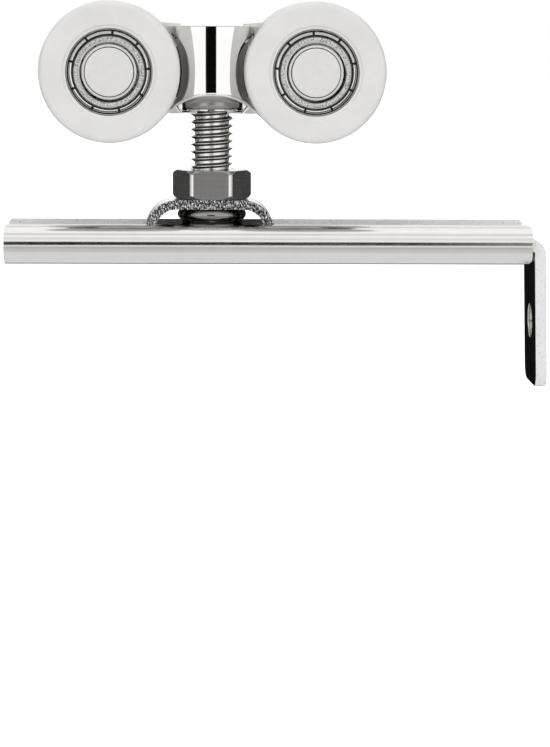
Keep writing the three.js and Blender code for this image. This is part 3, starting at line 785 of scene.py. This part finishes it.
sweep.angle = 2 * math.pi
sweep.screw_offset = PITCH * MM
sweep.iterations = turns
sweep.steps = sweep.render_steps = 64
sweep.use_merge_vertices = True
sweep.merge_threshold = 1e-6
apply_all(bolt)
take_up(bolt)
bpy.ops.object.mode_set(mode="EDIT")
face_outwards()
slice_off(bolt, (0, 0, bolt_low[2]), (0, 0, -1))
slice_off(bolt, (0, 0, THREAD_TOP), (0, 0, 1))
paint(bolt, thread_nickel, groove_shade_finish)
# The thread's downward-facing flanks are painted near black as the shade under each turn.
shaded_flank_faces = paint_where(bolt, 1, lambda c, n: n.z < -0.5)
shade(bolt, 35)
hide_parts("hanger_bolt")
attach(bolt, "screw")

HEAD_Z, HEAD_R = 29.1, bolt_high[0]
dome = arc(0, 0, 1, 0, 90, 16)
head_profile = (
    [(0, HEAD_Z - 0.15), (HEAD_R - 0.3, HEAD_Z), (HEAD_R - 0.1, HEAD_Z + 0.06), (HEAD_R, HEAD_Z + 0.25),
     (HEAD_R, HEAD_Z + 0.7)]
    + [(HEAD_R * u, HEAD_Z + 0.9 + (bolt_high[2] - HEAD_Z - 0.9) * v) for u, v in dome[:-1]]
    + [(0, bolt_high[2])]
)
head = turned("bolt_head", head_profile, (0, 0, 0), "Z", 96)
# The head is painted dark grey as the shade and dark reflection under the carriage's arch.
paint(head, shaded_dome_nickel)
shade(head, 30)
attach(head, "screw")

washer_low, washer_high = corners("thrust_washer")
washer_profile = [
    (4.3, washer_low[2]), (5.8, washer_low[2]), (5.9, washer_low[2] + 0.12), (5.9, washer_high[2] - 0.12),
    (5.8, washer_high[2]), (4.3, washer_high[2]),
]
washer = turned("thrust_washer_fine", washer_profile, (0, 0, 0), "Z", 96)
paint(washer, pressed_nickel)
shade(washer, 30)
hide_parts("thrust_washer")
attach(washer, "riser")
print("thread faces", len(bolt.data.polygons), "root faces", shaded_flank_faces, "head top", round(bolt_high[2], 2))

# %% [markdown]
# Jam nut. A hexagon bar is parted off and chamfered on both faces, which leaves curved lines on the six
# flats. So it is drawn as a hexagon with rounded upright edges, two degrees off square as a spanner leaves
# it, and kept only where it lies inside a turned crown, and its bore gets a countersink. Its flats are
# brushed and painted darker than the plated strip as painted shade, and its top, chamfer and round upright
# edges get the paler bridge finish as a painted highlight. The lift collar under the bridge is a turned,
# polished ring with a round bead at its top, painted dark as the shade under the bridge.

# %% Nut and collar
nut_low, nut_high = corners("jam_nut")
NUT_CORNER = nut_high[0]
NUT_FLAT = NUT_CORNER * math.sqrt(3) / 2
EDGE_R, NUT_TURN = 1.1, -2
hexagon = []
for corner in range(NUT_TURN, NUT_TURN + 360, 60):
    reach = NUT_CORNER - EDGE_R / math.cos(math.radians(30))
    turn_x, turn_y = reach * math.cos(math.radians(corner)), reach * math.sin(math.radians(corner))
    hexagon += arc(turn_x, turn_y, EDGE_R, corner - 30, corner + 30, 8)
nut = pushed("jam_nut_fine", hexagon, nut_low[2], nut_high[2], "Z")
DROP, SLOPE, BEYOND = 0.5, 1.0, 0.5
TAPPED_R, COUNTERSINK_R = 4.02, 5.6
crown_profile = [
    (0, nut_low[2] - BEYOND), (NUT_CORNER - SLOPE * (DROP + BEYOND) - 0.3, nut_low[2] - BEYOND),
    (NUT_CORNER - 0.3, nut_low[2] + DROP), (NUT_CORNER + 0.02, nut_low[2] + DROP + 0.6),
    (NUT_CORNER + 0.02, nut_high[2] - DROP - 0.6), (NUT_CORNER - 0.3, nut_high[2] - DROP),
    (NUT_CORNER - SLOPE * (DROP + BEYOND) - 0.3, nut_high[2] + BEYOND), (0, nut_high[2] + BEYOND),
]
combine(nut, turned("crown", crown_profile, (0, 0, 0), "Z", 144), "INTERSECT")
bore_profile = [
    (0, nut_low[2] - 1), (COUNTERSINK_R, nut_low[2] - 1), (TAPPED_R, nut_low[2] + 0.58),
    (TAPPED_R, nut_high[2] - 0.58), (COUNTERSINK_R, nut_high[2] + 1), (0, nut_high[2] + 1),
]
combine(nut, turned("tapped_bore", bore_profile, (0, 0, 0), "Z", 96), "DIFFERENCE")
paint(nut, shaded_nut_nickel, bridge_nickel_and_nut_highlight)


def off_the_flats(c, n):
    """The top, its chamfer, and the round upright edges between two flats, which get a paler finish as a
    painted highlight.
    """
    facing = math.degrees(math.atan2(n.y, n.x)) - (30 + NUT_TURN)
    turned_from_flat = abs((facing + 30) % 60 - 30) > 4
    outside_bore = math.hypot(c.x, c.y) > NUT_FLAT - 1
    return n.z > 0.3 or (abs(n.z) < 0.1 and turned_from_flat and outside_bore)


nut_highlight_faces = paint_where(nut, 1, off_the_flats)
soften(nut, 0.12, 2, 50)
shade(nut, 20)
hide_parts("jam_nut")
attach(nut, "lock_nut")

collar_low, collar_high = corners("lift_collar")
COLLAR_R = collar_high[0]
BEAD_R, COLLAR_BORE_R = 1.15, 4.1
collar_profile = (
    [(COLLAR_BORE_R, collar_low[2]), (COLLAR_R - 0.9, collar_low[2]), (COLLAR_R - 0.7, collar_low[2] + 0.2),
     (COLLAR_R - 0.7, collar_high[2] - 2 * BEAD_R - 0.35)]
    + arc(COLLAR_R - BEAD_R, collar_high[2] - BEAD_R, BEAD_R, -60, 90, 14)
    + [(COLLAR_BORE_R, collar_high[2])]
)
collar = turned("lift_collar_fine", collar_profile, (0, 0, 0), "Z", 96)
# The collar is painted dark as the shade under the bridge.
paint(collar, shaded_collar_nickel)
shade(collar, 40)
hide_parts("lift_collar")
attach(collar, "slider")
print("nut faces", len(nut.data.polygons), "chamfers", nut_highlight_faces, "collar", len(collar.data.polygons))

# %% [markdown]
# Slide plate. A strip of plate is pressed into a low bridge with flat feet, and its feet run inside the
# channel. The strip is drawn from the side as one closed outline, so the sheet keeps its thickness round
# the bends, and pushed to its width. The bridge stands a little left of the bolt's hole. The feet are wider
# than the bridge, so they are added as two plates. The long sides are sheared and stay rough, which gives
# the bridge its speckled front edge.

# %% Bridge and feet
plate_low, plate_high = corners("slide_plate")
FOOT_Z, FOOT_TOP = plate_low[2], plate_low[2] + 2.0
BRIDGE_TOP, BRIDGE_HALF = plate_high[2], 6.5
OFF_CENTRE = 0.4
FLAT_X, FOOT_X, SHEET = 6.3, 12.4, 1.75
FOOT_HALF, FOOT_CORNER, FOOT_LAP = plate_high[1], 1.5, 0.402


def shoulder(foot_x, top):
    """The bend from a leg up to the flat top, a quarter of an ellipse."""
    quarter = arc(0, 0, 1, 0, 90, 20)
    return [(FLAT_X + (foot_x - FLAT_X) * u, FOOT_TOP + (top - FOOT_TOP) * v) for u, v in quarter]


outer = shoulder(FOOT_X, BRIDGE_TOP)
inner = shoulder(FOOT_X - SHEET, BRIDGE_TOP - SHEET)
bridge_outline = (
    [(FOOT_X, FOOT_Z)] + outer + [(-a, b) for a, b in reversed(outer)] + [(-FOOT_X, FOOT_Z)]
    + [(-(FOOT_X - SHEET), FOOT_Z)] + [(-a, b) for a, b in inner] + inner[::-1] + [(FOOT_X - SHEET, FOOT_Z)]
)
bridge_outline = [(a - OFF_CENTRE, b) for a, b in bridge_outline]
bridge = pushed("bridge_plate", bridge_outline, -BRIDGE_HALF, BRIDGE_HALF, "Y")


def rounded_plate(x0, x1, half, r):
    """The outline of a plate with four rounded corners, seen from above."""
    return (arc(x1 - r, -half + r, r, -90, 0, 8) + arc(x1 - r, half - r, r, 0, 90, 8)
            + arc(x0 + r, half - r, r, 90, 180, 8) + arc(x0 + r, -half + r, r, 180, 270, 8))


for side in (-1, 1):
    ends = sorted((side * (FOOT_X - SHEET + FOOT_LAP), side * plate_high[0]))
    foot_outline = rounded_plate(ends[0], ends[1], FOOT_HALF, FOOT_CORNER)
    combine(bridge, pushed("foot", foot_outline, FOOT_Z + 0.002, FOOT_TOP + 0.002, "Z"), "UNION")
combine(bridge, round_bar("lift_bore", BOLT_HOLE_R, (0, 0, BRIDGE_TOP), 4.0, "Z", 96), "DIFFERENCE")
paint(bridge, bridge_nickel_and_nut_highlight, sheared)
rough_faces = paint_where(bridge, 1, lambda c, n: abs(n.y) > 0.95)
soften(bridge, 0.28, 3, 40)
shade(bridge, 30)
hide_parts("slide_plate")
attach(bridge, "slider")
print("bridge faces", len(bridge.data.polygons), "sheared", rough_faces)

# %% [markdown]
# Door channel. Thin strip is rolled into a C with half-round sides whose lips stop at a long slot. It is
# drawn as its true section and pushed to length, since the reflections in the round sides depend on the
# exact curve. The saw's slanting cut and the clipped corners of the lips are sawn with planes, and the ends
# and the lips' edges get the pale trimmed finish.

# %% Channel
channel_low, channel_high = corners("door_channel")
X0, X1, HEIGHT = channel_low[0], channel_high[0], channel_high[2]
CHANNEL_SHEET, SIDE_R = 1.3, HEIGHT / 2
SIDE_Y = channel_high[1] - SIDE_R
SLOT_HALF, SCREW_X, SCREW_HOLE_R = 6.75, 30, 2.6
REACH = SLOT_HALF - SIDE_Y
outer_lip = math.degrees(math.acos(REACH / SIDE_R))
inner_lip = math.degrees(math.acos(REACH / (SIDE_R - CHANNEL_SHEET)))
INNER_R = SIDE_R - CHANNEL_SHEET
section = (
    arc(SIDE_Y, SIDE_R, SIDE_R, outer_lip, -90, 48)
    + arc(-SIDE_Y, SIDE_R, SIDE_R, 270, 180 - outer_lip, 48)
    + arc(-SIDE_Y, SIDE_R, INNER_R, 180 - inner_lip, 270, 48)
    + arc(SIDE_Y, SIDE_R, INNER_R, -90, inner_lip, 48)
)
channel = pushed("channel_section", section, X0, X1, "X")
slice_off(channel, (X1 - 0.5, 0, 0), (2.5, 0, -0.5))
slice_off(channel, (X1, 0, HEIGHT - 0.6), (1, 0, 1))
slice_off(channel, (X0, 0, HEIGHT - 0.6), (-1, 0, 1))
for x in (-SCREW_X, SCREW_X):
    combine(channel, round_bar("screw_hole", SCREW_HOLE_R, (x, 0, 0), 3.0, "Z", 64), "DIFFERENCE")


def on_trimmed_edge(c, n):
    """The sawn ends, and the lips' edges along the slot."""
    on_lip = abs(n.y) > 0.95 and c.z > SIDE_R + INNER_R - 0.1 and abs(c.y) < SLOT_HALF + 0.15
    return abs(n.x) > 0.6 or on_lip


paint(channel, rolled_nickel, trimmed)
trimmed_faces = paint_where(channel, 1, on_trimmed_edge)
soften(channel, 0.14, 2, 40)
shade(channel, 30)
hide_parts("door_channel")
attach(channel, "bracket")
print("channel faces", len(channel.data.polygons), "trimmed", trimmed_faces)

# %% [markdown]
# End bracket. A flat bar lies between the channel's round sides and is bent down past its end, to close
# over the door's edge, leaning out a little. Its side is drawn with the bend's two radii and pushed to its
# width, and a plate with two rounded corners, pushed through it, keeps only what lies inside. One hole is
# drilled.

# %% End bracket
flange_low, flange_high = corners("end_bracket")
BAR_HALF, BAR_SHEET, BAR_Z = flange_high[1], 2.1, 2.6
BEND_X, BEND_R, LEAN, LENGTH = 60.4, 0.4, math.radians(1.5), 25.6
PIVOT_Z = BAR_Z - BEND_R
HOLE_R, HOLE_Z, HOLE_IN = 3.2, -11.3, 2.0


def down_the_flange(r, run):
    """A point r out from the bend's centre, and a run down along the leaning flange."""
    x = BEND_X + r * math.cos(LEAN) + run * math.sin(LEAN)
    return (x, PIVOT_Z + r * math.sin(LEAN) - run * math.cos(LEAN))


lean_degrees = math.degrees(LEAN)
bracket_outline = (
    [(flange_low[0], BAR_Z)] + arc(BEND_X, PIVOT_Z, BEND_R, 90, lean_degrees, 8)
    + [down_the_flange(BEND_R, LENGTH), down_the_flange(BEND_R + BAR_SHEET, LENGTH)]
    + arc(BEND_X, PIVOT_Z, BEND_R + BAR_SHEET, lean_degrees, 90, 16) + [(flange_low[0], BAR_Z + BAR_SHEET)]
)
bracket = pushed("end_flange", bracket_outline, -BAR_HALF, BAR_HALF, "Y")
CORNER_R = 3.0
low = flange_low[2]
face_outline = (
    arc(BAR_HALF - CORNER_R, low + CORNER_R, CORNER_R, -90, 0, 12) + [(BAR_HALF, FAR), (-BAR_HALF, FAR)]
    + arc(-BAR_HALF + CORNER_R, low + CORNER_R, CORNER_R, 180, 270, 12)
)
wider = [(a * 1.001, b) for a, b in face_outline]
combine(bracket, pushed("rounded_face", wider, flange_low[0] - 1, flange_high[0] + 1, "X"), "INTERSECT")
hole = round_bar("flange_hole", HOLE_R, (0, 0, 0), 4.0, "Y", 64)
to_hole = Matrix.Translation((BEND_X * MM + HOLE_IN * MM, 0, HOLE_Z * MM))
hole.matrix_world = to_hole @ Matrix.Rotation(math.pi / 2, 4, "Z")
settle(hole)
combine(bracket, hole, "DIFFERENCE")
paint(bracket, rolled_nickel, trimmed)
trimmed_faces = paint_where(bracket, 1, lambda c, n: abs(n.y) > 0.3 and abs(c.y) > BAR_HALF - CORNER_R)
soften(bracket, 0.18, 2, 40)
shade(bracket, 30)
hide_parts("end_bracket")
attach(bracket, "bracket")
print("bracket faces", len(bracket.data.polygons), "trimmed", trimmed_faces)

# %% [markdown]
# The studio. Polished nickel shows the room and little else, so the room is what has to be made: a white
# tent with darker openings. It could be built from cards and area lights, but one world shader does it with
# less noise. It takes a direction's height and bearing, grades the white by height, and darkens a few
# soft-edged patches: one in front, which draws the black line along the channel and down the barrel, two
# faint ones at the sides, two strong ones behind them for the nut and the barrel's edges, and a low one at
# the back for the flange's inner face. A thin darker ring overhead draws the faint line above the black
# one. The camera's own rays skip all this and see plain white.

# %% The world's light by direction
world = bpy.data.worlds.new("white_tent")
bpy.context.scene.world = world
world.use_nodes = True
sky = world.node_tree
sky.nodes.clear()


def sky_math(operation, a, b=None, clamp=False):
    """One step of arithmetic on sockets or plain numbers."""
    node = sky.nodes.new("ShaderNodeMath")
    node.operation = operation
    node.use_clamp = clamp
    for socket, value in zip(node.inputs, (a, b)):
        if value is None:
            continue
        if isinstance(value, (int, float)):
            socket.default_value = value
        else:
            sky.links.new(value, socket)
    return node.outputs[0]


look = sky.nodes.new("ShaderNodeTexCoord")
split = sky.nodes.new("ShaderNodeSeparateXYZ")
sky.links.new(look.outputs["Generated"], split.inputs[0])
height = sky_math("DEGREES", sky_math("ARCSINE", split.outputs["Z"]))
forwards = sky_math("MULTIPLY", split.outputs["Y"], -1.0)
bearing = sky_math("DEGREES", sky_math("ARCTAN2", split.outputs["X"], forwards))


def inside(value, middle, half, soft):
    """One within half of the middle, falling to nought over the soft edge."""
    away = sky_math("ABSOLUTE", sky_math("SUBTRACT", value, middle))
    return sky_math("DIVIDE", sky_math("SUBTRACT", half + soft, away), soft, clamp=True)


def patch(bearings, heights, soft):
    """A soft-edged patch of sky, from (middle, half) bearings and heights in degrees."""
    return sky_math("MULTIPLY", inside(bearing, *bearings, soft), inside(height, *heights, soft))


# %% Grade and patches
GRADE = [
    (-90, 0.84), (-52, 0.86), (-38, 0.70), (-22, 0.62), (-16, 0.50), (-10, 0.85), (-5, 1.18), (22, 1.12),
    (34, 0.86), (46, 1.15), (54, 1.15), (58, 0.72), (62, 0.72), (66, 1.12), (86, 1.20), (100, 1.1),
]
BELOW, GRADE_SPAN = 90.0, 190.0
place = sky_math("DIVIDE", sky_math("ADD", height, BELOW), GRADE_SPAN)
grade = spread(sky, place, [((h + BELOW) / GRADE_SPAN, (g, g, g)) for h, g in GRADE])
bright = sky.nodes.new("ShaderNodeSeparateColor")
sky.links.new(grade, bright.inputs[0])
level = bright.outputs[0]
PATCHES = [
    ((-3.4, 12.0), (6.0, 9.0), 1.5, 0.998),
    ((76, 13), (5, 34), 8, 0.42),
    ((-76, 13), (5, 34), 8, 0.42),
    ((118, 20), (0, 45), 10, 0.9),
    ((-118, 20), (0, 45), 10, 0.9),
]
for bearings, heights, soft, depth in PATCHES:
    shade_here = sky_math("SUBTRACT", 1.0, sky_math("MULTIPLY", patch(bearings, heights, soft), depth))
    level = sky_math("MULTIPLY", level, shade_here)
behind = sky_math("SUBTRACT", 180.0, sky_math("ABSOLUTE", bearing))
LOW_BACK_BEARINGS, LOW_BACK_HEIGHTS, LOW_BACK_DEPTH = (0.0, 32.0, 8.0), (-18.0, 17.0, 4.0), 0.997
low_back = sky_math("MULTIPLY", inside(behind, *LOW_BACK_BEARINGS), inside(height, *LOW_BACK_HEIGHTS))
low_back = sky_math("MULTIPLY", low_back, LOW_BACK_DEPTH)
level = sky_math("MULTIPLY", level, sky_math("SUBTRACT", 1.0, low_back))
tent = sky.nodes.new("ShaderNodeBackground")
tent.inputs["Color"].default_value = (1, 1, 1, 1)
sky.links.new(level, tent.inputs["Strength"])
plain = sky.nodes.new("ShaderNodeBackground")
plain.inputs["Color"].default_value = (1, 1, 1, 1)
plain.inputs["Strength"].default_value = 1.0
path = sky.nodes.new("ShaderNodeLightPath")
choose = sky.nodes.new("ShaderNodeMixShader")
output = sky.nodes.new("ShaderNodeOutputWorld")
sky.links.new(path.outputs["Is Camera Ray"], choose.inputs["Fac"])
sky.links.new(tent.outputs[0], choose.inputs[1])
sky.links.new(plain.outputs[0], choose.inputs[2])
sky.links.new(choose.outputs[0], output.inputs["Surface"])
bpy.context.scene.view_settings.view_transform = "Standard"
print("patches", len(PATCHES) + 1)

# %% [markdown]
# Floor. A plain white sweep lies well below the hanger, which hangs free as it does in use, so no shadow
# crosses it.

# %% Floor
FLOOR_SIZE, FLOOR_Z = 12, -0.12
put_away()
bpy.ops.mesh.primitive_plane_add(size=FLOOR_SIZE, location=(0, 0, FLOOR_Z))
floor = bpy.context.object
floor.name = "white_floor"
settle(floor)
floor_paint, _, floor_shader = finish_named("floor_paper", 0.0, (0.93, 0.93, 0.93), 0.9)
floor_shader.inputs["Specular IOR Level"].default_value = 0.0
floor_shader.inputs["Emission Color"].default_value = (1, 1, 1, 1)
floor_shader.inputs["Emission Strength"].default_value = 0.6
paint(floor, floor_paint)
floor.visible_glossy = False
floor.visible_diffuse = False
floor.visible_shadow = False

# %% [markdown]
# Camera. A long lens at half a metre, a little above the carriage and looking slightly down, shows the
# channel's round front as a band of reflections and just opens the slot behind its front lip.

# %% Camera
EYE, LENS, SENSOR = (-5, -500, 47), 126.6, 36
lens_data = bpy.data.cameras.new("long_lens")
camera = bpy.data.objects.new("camera", lens_data)
bpy.context.collection.objects.link(camera)
camera.location = Vector(EYE) * MM
YAW, PITCH_DOWN, ROLL = 1.97, 7.82, 0.3
aim = Euler((math.radians(90 - PITCH_DOWN), 0, math.radians(-YAW)), "XYZ").to_matrix().to_4x4()
camera.matrix_world = Matrix.Translation(camera.location) @ aim @ Matrix.Rotation(math.radians(ROLL), 4, "Z")
lens_data.sensor_width = SENSOR
lens_data.lens = LENS
lens_data.clip_start = 0.01
bpy.context.scene.camera = camera
print("camera", [round(v, 4) for v in camera.location])
